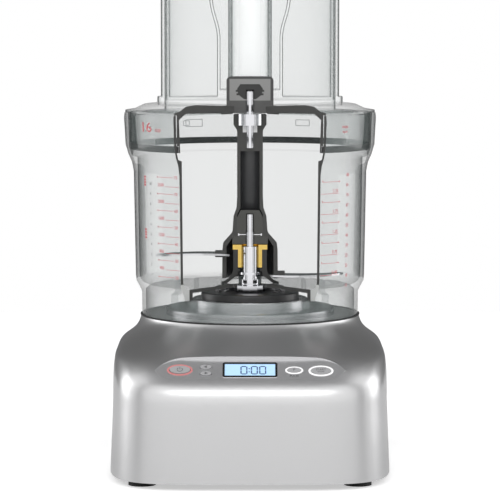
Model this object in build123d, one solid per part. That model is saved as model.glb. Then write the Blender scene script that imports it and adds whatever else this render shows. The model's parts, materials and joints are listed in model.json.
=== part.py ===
from build123d import *
from math import cos, exp, pi, radians, sin, tan
import os

# Large food processor, shown with a sector of its bowl and lid taken out and its drive
# spindle split along the XZ plane. Millimetres, +Z up. The origin is on the drive axis,
# on the table, and the control panel faces -Y.

# ---- Driving dimensions ----------------------------------------------------------------
SECTIONED = True          # False gives the whole, uncut machine
WINDOW_HALF_ANGLE = 36    # half of the sector taken out of the bowl and the lid, degrees
WINDOW_FLOOR_Z = 142      # the sector starts here, so the bowl's skirt stays whole
SPLIT_REACH = 340         # size of the block that splits the parts on the axis

BASE_TOP_Z = 125          # the face that the bowl stands on
BASE_BOTTOM_Z = 5
BASE_WALL = 3
BASE_TOP_RADIUS = 91
FOOTPRINT_DEPTH = 150     # half the depth of the base
BASE_HALF_WIDTH = 114     # at the table
SHOULDER_HALF_WIDTH = 111.8
WAIST_Z = 62              # straight sides below, shoulders and sloping front above
NECK_RECESS = 2.5         # the front slope starts steep under the bowl, by this much
SHOULDER_STEPS = 14       # outlines between the waist and the deck
OUTLINE_STEPS = 64        # points of one housing outline
SQUARENESS = 5            # power of the rounded-box outline; 2 is the round deck

PANEL_SLOPE = 37          # the front slope below the horizontal, degrees
PANEL_CENTRE = (0, -127.5, 95.4)
PANEL_DEPTH = 3.2         # the fascia lies this far below the crown of the slope
FASCIA_THICK = 4
BUTTON_TRAVEL = 1.2
BUTTON_GAP = 0.4
BUTTON_PROUD = 0.7        # a button's face above the fascia
BUTTON_SEAT = -5.5        # the underside of a button, below the fascia

SHAFT_R = 6.4             # drive shaft inside the brass bush
SHAFT_TOP_Z = 180.8
SHAFT_FIT = 0.05          # radial play of the shaft in its bearings

BOWL_BOTTOM_Z = 125.3
BOWL_FLOOR_Z = 151
BOWL_RIM_Z = 292.5
CHIMNEY_R = 14
CHIMNEY_BORE_R = 10
CHIMNEY_TOP_Z = 178
BUSH_TOP_Z = 182
BUSH_BORE_R = 7

SPINDLE_BOTTOM_Z = 154
SPINDLE_TOP_Z = 290.9
SPINDLE_HUB_R = 23.2
PIN_R = 3.1
PIN_TOP_Z = 310
BLADE_THICK = 1.6
BLADE_REACH = 80
UPPER_BLADE_Z = 173.4
LOWER_BLADE_Z = 156.2

LID_RIM_Z = 292.8
LID_SKIRT_R = 99.8
LID_SKIRT_BOTTOM_Z = 268
SEAL_BOTTOM_Z = 262.4
HUB_R = 19.5
HUB_BOTTOM_Z = 291.5
HUB_TOP_Z = 321.9
CHUTE_HALF_WIDTH = 75
CHUTE_FRONT_Y = 24
CHUTE_BACK_R = 96.5
CHUTE_CORNER = 14
CHUTE_WALL = 3
CHUTE_TOP_Z = 430
PUSHER_GAP = 1
PUSHER_WALL = 2.6
PUSHER_BOTTOM_Z = 301
PUSHER_TOP_Z = 444
SMALL_PUSHER_Y = 47
SMALL_PUSHER_R = 14.4
SMALL_PUSHER_TOP_Z = 455
GUIDE_R = 16.4

HANDLE_HALF_WIDTH = 10
HANDLE_OUTER_Y = 148
HANDLE_INNER_Y = 122
HANDLE_TOP_Z = 282
ROD_Y = 130
ROD_R = 2
ROD_TOP_Z = 284
ROD_BOTTOM_Z = 100
TAB_BOTTOM_Z = 285.2

STATOR_R = 58
ROTOR_R = 32
STACK_Z = (34, 86)
MOTOR_EAR_R = 67
EAR_ANGLES = (45, 135, 225, 315)

os.makedirs("parts", exist_ok=True)


# ---- Shared shapes ---------------------------------------------------------------------
def turned(points, rounds=None):
    """Solid of revolution about Z from an (r, z) outline, with corner radii by index."""
    radii = [0.0] * len(points)
    for index, radius in (rounds or {}).items():
        radii[index] = radius
    outline = FilletPolyline(*points, radius=radii, close=True)
    return revolve(Plane.XZ * make_face(outline), axis=Axis.Z)


def disc(radius, z_low, z_high, x=0.0, y=0.0):
    """Upright cylinder between two heights."""
    bottom = (Align.CENTER, Align.CENTER, Align.MIN)
    return Pos(x, y, z_low) * Cylinder(radius, z_high - z_low, align=bottom)


def ring(outer, inner, z_low, z_high, x=0.0, y=0.0):
    """Upright tube between two heights."""
    return disc(outer, z_low, z_high, x, y) - disc(inner, z_low - 1, z_high + 1, x, y)


def block(x_range, y_range, z_range):
    """Box between given limits."""
    size = [high - low for low, high in (x_range, y_range, z_range)]
    corner = (x_range[0], y_range[0], z_range[0])
    return Pos(*corner) * Box(*size, align=(Align.MIN, Align.MIN, Align.MIN))


def around(angles, radius):
    """Points on a circle about the axis, at the given angles."""
    return [(radius * cos(radians(a)), radius * sin(radians(a))) for a in angles]


def halved(shape):
    """Take away the half in front of the XZ plane."""
    if not SECTIONED:
        return shape
    front = block((-SPLIT_REACH, SPLIT_REACH), (-SPLIT_REACH, 0), (0, 2 * SPLIT_REACH))
    return shape - front


def windowed(shape, hub_opening):
    """Take out the front sector, and the front half of the parts round the axis."""
    if not SECTIONED:
        return shape
    half = SPLIT_REACH * tan(radians(WINDOW_HALF_ANGLE))
    sector = make_face(Polyline((0, 0), (-half, -SPLIT_REACH), (half, -SPLIT_REACH), close=True))
    well = Circle(hub_opening) - Pos(0, hub_opening) * Rectangle(4 * hub_opening, 2 * hub_opening)
    return shape - extrude(Pos(0, 0, WINDOW_FLOOR_Z) * (sector + well), amount=SPLIT_REACH)


PANEL = Plane(
    origin=PANEL_CENTRE,
    x_dir=(1, 0, 0),
    z_dir=(0, -sin(radians(PANEL_SLOPE)), cos(radians(PANEL_SLOPE))),
).offset(-PANEL_DEPTH)


def on_panel(sketch, low, high):
    """Push a sketch out along the panel's normal, between two heights from the fascia."""
    return extrude(PANEL.offset(low) * sketch, amount=high - low, dir=PANEL.z_dir)


# ---- Base ------------------------------------------------------------------------------
def soft_min(rise, limit, softness):
    """The smaller of two lengths, with the corner between them rounded off."""
    return (rise + limit - ((rise - limit) ** 2 + softness**2) ** 0.5) / 2


def housing_outline(z, inset=0.0, drop=0.0):
    """Closed outline of the housing at one height: round at the deck, boxy lower down."""
    depth = BASE_TOP_Z - z
    flare = BASE_TOP_RADIUS + 0.1 * depth + 0.03 * depth**2
    half_width = soft_min(flare, SHOULDER_HALF_WIDTH, 6)
    slope = BASE_TOP_RADIUS + depth / tan(radians(PANEL_SLOPE)) - NECK_RECESS * (1 - exp(-depth / 4))
    front = soft_min(slope, FOOTPRINT_DEPTH - NECK_RECESS, 9)
    back = soft_min(BASE_TOP_RADIUS + 1.75 * depth, FOOTPRINT_DEPTH - 1.5, 12)
    blend = min(1.0, depth / 42)
    power = 2 + (SQUARENESS - 2) * blend * blend * (3 - 2 * blend)
    return rounded_box(z - drop, (half_width - inset, front - inset, back - inset), power)


def rounded_box(z, reaches, power):
    """Closed outline with its own half width, front depth and back depth."""
    half_width, front, back = reaches
    points = []
    for step in range(OUTLINE_STEPS):
        angle = 2 * pi * step / OUTLINE_STEPS
        across = abs(cos(angle)) / half_width
        along = abs(sin(angle)) / (back if sin(angle) > 0 else front)
        reach = (across**power + along**power) ** (-1 / power)
        points.append((reach * cos(angle), reach * sin(angle), z))
    return make_face(Spline(*points, periodic=True))


def foot_outline(z, inset=0.0):
    """Outline of the housing at the table."""
    reaches = (BASE_HALF_WIDTH - inset, FOOTPRINT_DEPTH - inset, FOOTPRINT_DEPTH - inset)
    return rounded_box(z, reaches, SQUARENESS)


def housing_blank(inset=0.0, top_drop=0.0):
    """Filled housing shape, or its inside when inset by the wall."""
    rise = (BASE_TOP_Z - WAIST_Z) / SHOULDER_STEPS
    heights = [WAIST_Z + rise * step for step in range(SHOULDER_STEPS + 1)]
    shoulders = []
    for z in heights:
        drop = top_drop * (z - WAIST_Z) / (BASE_TOP_Z - WAIST_Z)
        shoulders.append(housing_outline(z, inset, drop))
    skirt = loft([foot_outline(BASE_BOTTOM_Z, inset), housing_outline(WAIST_Z, inset)])
    return skirt + loft(shoulders)


def fascia_outline():
    """Outline of the control panel: a long eye shape with flat top and bottom."""
    right_up = ThreePointArc((54, 12.5), (67, 8.3), (75.5, 0))
    right_down = ThreePointArc((75.5, 0), (69, -8.2), (58, -12.7))
    left_down = ThreePointArc((-58, -12.7), (-69, -8.2), (-75.5, 0))
    left_up = ThreePointArc((-75.5, 0), (-67, 8.3), (-54, 12.5))
    lower = Line((58, -12.7), (-58, -12.7))
    upper = Line((-54, 12.5), (54, 12.5))
    return make_face([right_up, right_down, lower, left_down, left_up, upper])


def base_housing():
    """Die-cast shell: a round deck that spreads into a rounded box with a sloping front."""
    shell = housing_blank() - housing_blank(BASE_WALL, BASE_WALL)
    shell -= on_panel(fascia_outline(), -20, 20)
    shell -= disc(20, BASE_TOP_Z - 10, BASE_TOP_Z + 10)
    shell -= disc(4, BASE_BOTTOM_Z + 60, BASE_TOP_Z + 1, 0, ROD_Y)
    return shell - gland_blank(0.0)


def gland_blank(clearance):
    """Round plug shape of the cord inlet, through the back wall."""
    y_low, y_high = FOOTPRINT_DEPTH - 12, FOOTPRINT_DEPTH
    plug = Cylinder(9 + clearance, y_high - y_low, rotation=(90, 0, 0))
    return Pos(-55, (y_low + y_high) / 2, 30) * plug


def cord_gland():
    """Cord inlet with a collar inside the wall and a clear bore for the cord."""
    collar = Pos(-55, FOOTPRINT_DEPTH - 13, 30) * Cylinder(12, 8, rotation=(90, 0, 0))
    bore = Pos(-55, FOOTPRINT_DEPTH - 8, 30) * Cylinder(4, 40, rotation=(90, 0, 0))
    return gland_blank(0.0) + collar - bore


FOOT_POINTS = [(x, y) for x in (-86, 86) for y in (-118, 118)]
SCREW_POINTS = [(x, y) for x in (-96, 96) for y in (-60, 60)]


def base_plate():
    """Closing plate with sockets for the feet and seats for its screws."""
    plate = extrude(foot_outline(BASE_BOTTOM_Z, BASE_WALL + 0.5), amount=3, dir=(0, 0, 1))
    slots = [Pos(x, 0, BASE_BOTTOM_Z) * Box(4, 60, 12) for x in range(-36, 37, 12)]
    plate -= slots
    return plate - [disc(2, 0, 20, x, y) for x, y in SCREW_POINTS]


def rubber_feet():
    """Four stepped round feet under the plate."""
    feet = Part()
    for x, y in FOOT_POINTS:
        feet += disc(11, 0, 3, x, y) + disc(8, 3, BASE_BOTTOM_Z, x, y)
    return feet


def base_plate_screws():
    """Four pan-head screws that hold the plate."""
    screws = Part()
    for x, y in SCREW_POINTS:
        screws += disc(4, BASE_BOTTOM_Z - 2, BASE_BOTTOM_Z, x, y) + disc(2, BASE_BOTTOM_Z, 18, x, y)
    return screws


def dock_ring():
    """Two-step turned boss that centres the bowl."""
    outline = [(9, 125), (70, 125), (70, 130.5), (48, 130.5), (48, 138), (9, 138)]
    return turned(outline, {2: 1.2, 4: 1.2})


def bearing_cover():
    """Black disc with a recess for the drive cup."""
    outline = [(9, 138), (40.7, 138), (40.7, 143.4), (29, 143.4), (29, 141), (9, 141)]
    return turned(outline, {2: 1.5})


def drive_cup():
    """Metal collar round the drive nut, with a rolled upper lip."""
    outline = [(26.5, 141), (28.9, 141), (28.9, 147.2), (27.2, 147.2), (25.8, 144)]
    return halved(turned(outline, {2: 0.6}))


# ---- Control panel ---------------------------------------------------------------------
# Name, sideways place, upward place, half width, half height of each button opening
BUTTONS = {
    "power_button": (-55.6, 0, 8.65, 4.65),
    "timer_up_button": (-35, 3.1, 4.9, 2.7),
    "timer_down_button": (-35, -4.1, 4.9, 2.7),
    "pulse_button": (35, -0.3, 5.9, 2.95),
    "start_button": (56.2, -1, 8.4, 4.4),
}
LIT_RINGS = {
    "power_ring": ("power_button", 1.6),
    "pulse_ring": ("pulse_button", 1.2),
    "start_ring": ("start_button", 1.5),
}
LCD_SIZE = (40, 13)
LCD_FRAME_SIZE = (43.5, 17)


def button_opening(name, margin=0.0):
    """Oval sketch of a button's opening in the panel, grown by a margin."""
    u, v, half_width, half_height = BUTTONS[name]
    return Pos(u, v) * Ellipse(half_width + margin, half_height + margin)


def lit_ring(name):
    """Light pipe round a button."""
    button, width = LIT_RINGS[name]
    band = button_opening(button, width) - button_opening(button)
    return on_panel(band, -1.5, 0.2)


def control_panel():
    """Fascia with openings for the buttons, the rings and the display."""
    panel = on_panel(fascia_outline(), -FASCIA_THICK, 0)
    for name in BUTTONS:
        panel -= on_panel(button_opening(name), -10, 10)
    for button, width in LIT_RINGS.values():
        panel -= on_panel(button_opening(button, width), -1.5, 10)
    return panel - on_panel(RectangleRounded(*LCD_FRAME_SIZE, 1.8), -10, 10)


def lcd_frame():
    """Bright frame round the display."""
    return on_panel(RectangleRounded(*LCD_FRAME_SIZE, 1.8) - Rectangle(*LCD_SIZE), -2, 0.4)


def lcd_window():
    """Display pane, a little below its frame."""
    return on_panel(Rectangle(*LCD_SIZE), -1.8, -0.2)


def button(name):
    """Oval button cap with a stem, free to travel in its opening."""
    return on_panel(button_opening(name, -BUTTON_GAP), BUTTON_SEAT, BUTTON_PROUD)


def control_board():
    """Circuit board behind the panel, with the display driver on it."""
    board = on_panel(Rectangle(128, 20), -12, -10.4)
    return board + on_panel(Rectangle(30, 12), -10.4, -8.4)


# ---- Motor -----------------------------------------------------------------------------
SLOT_ANGLES = range(0, 360, 30)


def slot_bars(grow):
    """Copper sides of the windings, as one bar in each slot of the stator."""
    bar = block((38 - grow, 48 + grow), (-5 - grow, 5 + grow), (STACK_Z[0] - 1, STACK_Z[1] + 1))
    return [Rot(0, 0, angle) * bar for angle in SLOT_ANGLES]


def motor_stator():
    """Laminated ring with a slot for each coil side."""
    return ring(STATOR_R, ROTOR_R + 0.6, *STACK_Z) - slot_bars(0.3)


def motor_windings():
    """Coil sides joined by a rounded crown above and below the stator."""
    crown = [(37, 0), (51, 0), (51, 9), (37, 9)]
    low = Pos(0, 0, STACK_Z[0] - 9.5) * turned(crown, {0: 3, 1: 3})
    high = Pos(0, 0, STACK_Z[1] + 0.5) * turned(crown, {2: 3, 3: 3})
    return low + high + slot_bars(0.0)


def bracket_ears(z_low, z_high):
    """Four drilled ears for the through bolts."""
    ears = Part()
    for x, y in around(EAR_ANGLES, MOTOR_EAR_R):
        ears += disc(8, z_low, z_high, x, y)
    return ears


def bolt_holes(z_low, z_high):
    """Clearance holes on the bolt circle."""
    return [disc(2.5, z_low, z_high, x, y) for x, y in around(EAR_ANGLES, MOTOR_EAR_R)]


def motor_bottom_bracket():
    """Lower end bell with a pocket for its bearing."""
    outline = [(11, 14), (62, 14), (62, 40), (58, 40), (58, 34), (54, 34), (54, 20), (11, 20)]
    return turned(outline, {1: 2}) + bracket_ears(14, 20) - bolt_holes(0, 60)


def motor_top_bracket():
    """Upper end bell with a boss for its bearing."""
    outline = [(14, 100), (54, 100), (54, 86), (58, 86), (58, 80), (62, 80), (62, 106),
               (18, 106), (18, 112), (14, 112)]
    return turned(outline, {6: 2}) + bracket_ears(100, 106) - bolt_holes(60, 120)


def bearing(bore, outer, z_low, z_high):
    """Ball bearing as an outer and an inner race joined by a recessed shield."""
    shielded = ring(outer, bore + SHAFT_FIT, z_low, z_high)
    groove = ring(outer - 2, bore + 2, z_low - 1, z_low + 0.6)
    groove_above = ring(outer - 2, bore + 2, z_high - 0.6, z_high + 1)
    return shielded - groove - groove_above


def motor_mounts():
    """Four rubber bushes between the lower end bell and the base plate."""
    mounts = Part()
    for x, y in around(EAR_ANGLES, MOTOR_EAR_R):
        mounts += ring(8, 2.5, 8, 14, x, y)
    return mounts


def motor_bolts():
    """Four long bolts through both end bells."""
    bolts = Part()
    for x, y in around(EAR_ANGLES, MOTOR_EAR_R):
        bolts += disc(2.5, 8, 106, x, y) + disc(4.5, 106, 110, x, y)
    return bolts


def run_capacitor():
    """Capacitor can lying behind the motor."""
    can = Pos(20, 113, 28) * Cylinder(16, 74, rotation=(0, 90, 0))
    return fillet(can.edges().filter_by(GeomType.CIRCLE), 2)


def interlock_switch():
    """Switch under the handle's rod, with its plunger."""
    return block((-9, 9), (ROD_Y - 6, ROD_Y + 6), (74, 92)) + disc(3, 92, 98.5, 0, ROD_Y)


def drive_shaft():
    """Stepped steel shaft from the lower bearing up to the bowl's bush and the tip."""
    outline = [(0, 12), (4, 12), (4, 22), (8, 22), (8, 100), (6, 100), (6, 156.8), (SHAFT_R, 156.8),
               (SHAFT_R, SHAFT_TOP_Z), (3.15, SHAFT_TOP_Z), (3.15, 192.6), (2.7, 192.6),
               (2.7, 207.5), (0, 207.5)]
    return turned(outline, {8: 0.6, 12: 0.4})


def motor_rotor():
    """Rotor core with short-circuit end rings."""
    return ring(ROTOR_R, 8, *STACK_Z) + ring(28, 20, 86, 92) + ring(28, 20, 33, 34)


def cooling_fan():
    """Small radial fan below the rotor."""
    fan = ring(14, 8, 23, 32) + ring(30, 8, 23, 24.5)
    vane = block((12, 30), (-0.8, 0.8), (24, 32))
    return fan + [Rot(0, 0, angle) * vane for angle in range(0, 360, 36)]


def drive_nut():
    """Twelve-sided nut on the shaft."""
    nut = extrude(Pos(0, 0, 141.6) * RegularPolygon(12.2, 12), amount=6.8)
    return nut - disc(6, 130, 160)


def shaft_collar():
    """Collar above the nut, with a thin ring standing on it."""
    return ring(7.3, 6, 148.4, 153.4) + ring(6.3, 6, 153.4, 154.6) + ring(6.2, 6, 154.6, 156.4)


def shaft_flange():
    """Thin thrust washer on the shaft."""
    return ring(9.2, SHAFT_R, 157.5, 159.4)


# ---- Bowl ------------------------------------------------------------------------------
BOWL_OUTER = [(89.8, 144), (92, 148.5), (94.4, 153), (95, 158), (96.5, 244), (97.9, 251.5),
              (101, 258.5), (103.2, 266), (104.4, 288), (104, BOWL_RIM_Z)]


def bowl():
    """Clear bowl with a locating skirt, a chimney for the shaft and a stepped rim band."""
    outline = [(89.8, BOWL_BOTTOM_Z)] + BOWL_OUTER
    first_inner = len(outline)
    outline += [(101.2, BOWL_RIM_Z), (100.4, 264), (98, 257), (93.4, 255.6), (92, 160),
                (91.6, BOWL_FLOOR_Z)]
    corner = len(outline) - 1
    outline += [(CHIMNEY_R, BOWL_FLOOR_Z)]
    flare = len(outline) - 1
    outline += [(CHIMNEY_R, CHIMNEY_TOP_Z), (CHIMNEY_BORE_R, CHIMNEY_TOP_Z),
                (CHIMNEY_BORE_R, 162), (8.2, 162), (8.2, 160), (CHIMNEY_BORE_R, 160),
                (CHIMNEY_BORE_R, 157), (21, 148.4), (84, 148), (86.8, 145.5),
                (86.8, BOWL_BOTTOM_Z)]
    rounds = {first_inner - 1: 0.6, first_inner: 0.6, corner: 7, flare: 12, 6: 6, 5: 6}
    solid = turned(outline, rounds)
    lug = block((79, 88), (-3.4, 3.4), (135, 148.5))
    for side in (-90, 90):
        for turn in (-50, -36, 36, 50):
            solid += Rot(0, 0, side + turn) * lug
    return windowed(solid, 24)


def bowl_envelope():
    """The bowl's outer shape as a filled solid, for parts that fit against it."""
    return turned([(0, 126), (90, 126)] + BOWL_OUTER + [(0, BOWL_RIM_Z)], {6: 6, 7: 6})


def drive_bush():
    """Flanged brass bush in the chimney."""
    outline = [(BUSH_BORE_R, 163), (CHIMNEY_BORE_R, 163), (CHIMNEY_BORE_R, CHIMNEY_TOP_Z),
               (14.4, CHIMNEY_TOP_Z), (14.4, BUSH_TOP_Z), (BUSH_BORE_R, BUSH_TOP_Z)]
    return halved(turned(outline))


def grip_outline():
    """Side outline of the handle, in Y and Z, with its finger opening."""
    outer = FilletPolyline(
        (90, HANDLE_TOP_Z), (HANDLE_OUTER_Y, HANDLE_TOP_Z), (HANDLE_OUTER_Y, 112),
        (HANDLE_INNER_Y, 112), (HANDLE_INNER_Y, 148), (84, 148),
        radius=[0, 14, 8, 3, 8, 0], close=True,
    )
    opening = FilletPolyline(
        (80, 167), (HANDLE_INNER_Y, 167), (HANDLE_INNER_Y, 262), (80, 262),
        radius=[0, 10, 10, 0], close=True,
    )
    return make_face(outer) - make_face(opening)


def bowl_handle():
    """Hollow-cored handle behind the bowl, with a channel for the interlock rod."""
    width = 2 * HANDLE_HALF_WIDTH
    solid = extrude(Plane.YZ.offset(-HANDLE_HALF_WIDTH) * grip_outline(), amount=width)
    solid = chamfer(solid.edges().filter_by(Axis.Z), 2.5)
    solid -= bowl_envelope()
    solid -= disc(ROD_R + 0.4, 100, HANDLE_TOP_Z + 1, 0, ROD_Y)
    solid -= disc(4.6, 234, 268, 0, ROD_Y)
    return solid - handle_grip_blank()


def handle_grip_blank():
    """Soft strip let into the outer face of the handle."""
    return block((-7, 7), (HANDLE_OUTER_Y - 3, HANDLE_OUTER_Y + 0.6), (150, 250))


def handle_grip():
    """Rubber strip on the handle, with shallow finger grooves."""
    strip = handle_grip_blank()
    grooves = [block((-8, 8), (HANDLE_OUTER_Y, 160), (z, z + 4)) for z in range(156, 244, 10)]
    return strip - grooves


def interlock_spring():
    """Coil spring that lifts the rod."""
    path = Pos(0, ROD_Y, 235) * Helix(pitch=4.2, height=26, radius=3.4)
    return sweep(Plane(origin=path @ 0, z_dir=path % 0) * Circle(0.5), path, is_frenet=True)


def interlock_rod():
    """Rod that carries the lid's position down to the switch in the base."""
    rod = disc(ROD_R, ROD_BOTTOM_Z, ROD_TOP_Z, 0, ROD_Y)
    return rod + disc(4.2, 261.8, 264, 0, ROD_Y)


# ---- Spindle ---------------------------------------------------------------------------
def blade_outline():
    """Plan of one blade: a curved, tapering hook that points along +X."""
    lead = ThreePointArc((17, -12.5), (56, -13), (BLADE_REACH - 2, 13))
    tip = Line((BLADE_REACH - 2, 13), (BLADE_REACH - 7, 15))
    trail = ThreePointArc((BLADE_REACH - 7, 15), (50, 4.5), (17, 12))
    root = Line((17, 12), (17, -12.5))
    return make_face([lead, tip, trail, root])


def blade(z_low, turn):
    """One blade, with its cutting edge ground along the leading side."""
    plate = extrude(Pos(0, 0, z_low) * blade_outline(), amount=BLADE_THICK)
    return Rot(0, 0, turn) * (plate - disc(20.6, 100, 200))


def upper_blade():
    """Upper blade, on the left."""
    return blade(UPPER_BLADE_Z, 180)


def lower_blade():
    """Lower blade, on the right, just above the bowl's floor."""
    return blade(LOWER_BLADE_Z, 0)


def blade_clamp(z_low, turn):
    """Moulded pads that grip a blade's root above and below."""
    pad = block((21, 29), (-9, 9), (z_low - 1.8, z_low + BLADE_THICK + 1.8))
    return Rot(0, 0, turn) * pad


def spindle_body():
    """Hollow moulded spindle: a wide hub over the chimney and a slim column above it."""
    outline = [
        (SPINDLE_HUB_R, SPINDLE_BOTTOM_Z), (23, 178), (22.3, 184), (14.6, 192.7), (13.7, 206),
        (11.2, 213), (10.7, 222), (10.7, 277.5), (13.7, 282), (13.7, SPINDLE_TOP_Z),
        (10.3, SPINDLE_TOP_Z), (10.3, 281.6), (6, 281.6), (6, 275.6), (PIN_R, 275.6),
        (PIN_R, 262.7), (0, 262.7), (0, 260), (8, 260), (8, 212.5), (10.6, 207.5),
        (11, 193), (11, 189), (15, 189), (15, 187.5), (19.6, 180.5), (19.6, SPINDLE_BOTTOM_Z),
    ]
    solid = turned(outline, {2: 3, 3: 6, 5: 8, 7: 5, 9: 1})
    solid += blade_clamp(UPPER_BLADE_Z, 180) + blade_clamp(LOWER_BLADE_Z, 0)
    solid -= disc(19.6, SPINDLE_BOTTOM_Z - 5, 180)
    return halved(solid) - upper_blade() - lower_blade()


def spindle_insert():
    """Drive insert that takes the shaft's tip."""
    outline = [(3.5, 182.6), (14.8, 182.6), (14.8, 189), (11, 189), (11, 193), (10.6, 205),
               (7.8, 210.9), (0, 210.9), (0, 208), (3.1, 208), (3.1, 193), (3.5, 193)]
    return halved(turned(outline) - clip_blank())


def clip_blank():
    """Flat spring clip with a bead round its rim."""
    bead = turned([(8.9, 189.6), (9.9, 189.6), (9.9, 191.4), (8.9, 191.4)])
    return ring(9, 3.5, 190.2, 190.8) + bead


def spindle_clip():
    """The clip inside the insert."""
    return halved(clip_blank())


def spindle_pin():
    """Steel pin that runs in the lid's hub."""
    return chamfer(disc(PIN_R, 262.7, PIN_TOP_Z).edges().group_by(Axis.Z)[-1], 0.6)


def spindle_ring():
    """Steel thrust ring at the top of the spindle."""
    return ring(10.3, PIN_R, 281.6, SPINDLE_TOP_Z)


def pin_sleeve():
    """Plastic sleeve round the pin."""
    return halved(ring(6, PIN_R, 275.6, 281.6))


# ---- Lid -------------------------------------------------------------------------------
def chute_outline(inset):
    """Plan of the feed chute: flat front, round back, rounded corners."""
    half = CHUTE_HALF_WIDTH
    front = block((-half, half), (CHUTE_FRONT_Y, 140), (0, 1)) & disc(CHUTE_BACK_R, 0, 1)
    upright = front.edges().filter_by(Axis.Z)
    slab = fillet(upright, CHUTE_CORNER)
    plan = slab.faces().sort_by(Axis.Z)[0]
    return offset(plan, amount=-inset) if inset else plan


def chute_prism(inset, z_low, z_high):
    """Upright prism with the chute's plan."""
    return extrude(Pos(0, 0, z_low) * chute_outline(inset), amount=z_high - z_low, dir=(0, 0, 1))


def lid():
    """Clear lid: shallow dome, skirt that drops inside the bowl, and the feed chute."""
    outline = [
        (HUB_R + 0.1, 297.7), (75, 300.4), (88, 299.4), (95.5, 295.8), (103.4, 294.4),
        (103.4, LID_RIM_Z), (LID_SKIRT_R, LID_RIM_Z), (LID_SKIRT_R, LID_SKIRT_BOTTOM_Z),
        (97.2, LID_SKIRT_BOTTOM_Z), (97.2, SEAL_BOTTOM_Z), (95.4, SEAL_BOTTOM_Z), (97, 289),
        (88, 293.6), (HUB_R + 0.1, 292.3),
    ]
    solid = turned(outline, {1: 12, 2: 6, 3: 4, 12: 4})
    for turn in range(0, 360, 5):
        solid += Rot(0, 0, turn) * block((24, 86), (-0.7, 0.7), (291.6, 294))
    solid += chute_prism(0, 296, CHUTE_TOP_Z) + chute_prism(-3, 296, 304)
    solid += chute_prism(-2, CHUTE_TOP_Z - 4, CHUTE_TOP_Z)
    solid -= chute_prism(CHUTE_WALL, 280, CHUTE_TOP_Z + 10)
    tab = block((-5, 5), (97, 136), (293.2, 297.5)) + block((-5, 5), (124, 136), (TAB_BOTTOM_Z, 297))
    return windowed(solid + tab, 22)


def lid_seal():
    """Soft ring low on the lid's skirt."""
    low, high = SEAL_BOTTOM_Z, LID_SKIRT_BOTTOM_Z - 0.3
    return windowed(turned([(97.5, low), (99.2, low), (99.2, high), (97.5, high)]), 22)


def hub_shell():
    """Dark cap of the lid's hub."""
    outline = [(HUB_R, 302), (HUB_R, HUB_TOP_Z), (0, HUB_TOP_Z), (0, 319.9), (17, 319.9), (17, 302)]
    return halved(turned(outline, {1: 3.5}))


def hub_base():
    """Lower bearing block of the hub, bored for the spindle's pin."""
    return halved(ring(HUB_R, PIN_R + 0.3, HUB_BOTTOM_Z, 302))


def boot_blank():
    """Toothed mushroom outline of the boot, filled."""
    outline = [(0, 303.2), (5, 303.2), (9.2, 306.4), (11.2, 306.4), (11.2, 308), (10, 308),
               (10, 309.2), (11.8, 309.2), (11.8, 310.8), (10.6, 310.8), (10.6, 312),
               (8, 315.6), (0, 315.6)]
    return turned(outline)


def hub_core():
    """Grey filler of the hub, moulded round the boot."""
    return halved(ring(17, PIN_R + 0.3, 302, 319.9) + disc(10, 312, 319.9) - boot_blank())


def hub_boot():
    """Rubber boot round the tip of the pin."""
    return halved(boot_blank() - disc(PIN_R + 0.3, 300, PIN_TOP_Z + 1))


# ---- Pushers ---------------------------------------------------------------------------
def pusher():
    """Large pusher: a clear cup with two walls and a guide for the small pusher."""
    skin = CHUTE_WALL + PUSHER_GAP
    solid = chute_prism(skin, PUSHER_BOTTOM_Z, PUSHER_TOP_Z)
    hollow = chute_prism(skin + PUSHER_WALL, PUSHER_BOTTOM_Z + PUSHER_WALL, PUSHER_TOP_Z + 10)
    solid -= hollow
    walls = Part()
    for side in (-1, 1):
        low, high, bend = side * 26.5, side * 33, (352, 388)
        outline = []
        for shift in (-1.1, 1.1):
            foot, knee = (low + shift, PUSHER_BOTTOM_Z), (low + shift, bend[0])
            elbow, head = (high + shift, bend[1]), (high + shift, PUSHER_TOP_Z - 4)
            outline += [Line(foot, knee), Spline(knee, elbow, tangents=[(0, 1), (0, 1)]), Line(elbow, head)]
        outline.append(Line((low - 1.1, PUSHER_BOTTOM_Z), (low + 1.1, PUSHER_BOTTOM_Z)))
        outline.append(Line((high - 1.1, PUSHER_TOP_Z - 4), (high + 1.1, PUSHER_TOP_Z - 4)))
        walls += extrude(Plane.XZ * make_face(outline), amount=120, dir=(0, 1, 0))
    walls += block((-26.5, 26.5), (0, 120), (PUSHER_BOTTOM_Z, 309.5))
    solid += walls & chute_prism(skin + 1, PUSHER_BOTTOM_Z, PUSHER_TOP_Z)
    solid += disc(GUIDE_R + 2, PUSHER_BOTTOM_Z, PUSHER_TOP_Z - 2, 0, SMALL_PUSHER_Y)
    solid += chute_prism(-1, CHUTE_TOP_Z + 1, CHUTE_TOP_Z + 4) - hollow
    return solid - disc(GUIDE_R, PUSHER_BOTTOM_Z - 1, PUSHER_TOP_Z, 0, SMALL_PUSHER_Y)


def small_pusher():
    """Small round pusher: a hollow white tube closed at the bottom."""
    tube = disc(SMALL_PUSHER_R, PUSHER_BOTTOM_Z + 1, SMALL_PUSHER_TOP_Z - 7, 0, SMALL_PUSHER_Y)
    return tube - disc(SMALL_PUSHER_R - 2, PUSHER_BOTTOM_Z + 4, SMALL_PUSHER_TOP_Z, 0, SMALL_PUSHER_Y)


def small_pusher_cap():
    """Flanged cap of the small pusher, which doubles as a measuring cup lid."""
    flange = disc(22, SMALL_PUSHER_TOP_Z - 7, SMALL_PUSHER_TOP_Z, 0, SMALL_PUSHER_Y)
    plug = disc(SMALL_PUSHER_R - 2, SMALL_PUSHER_TOP_Z - 12, SMALL_PUSHER_TOP_Z - 7, 0, SMALL_PUSHER_Y)
    return fillet(flange.edges(), 1.5) + plug


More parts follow.
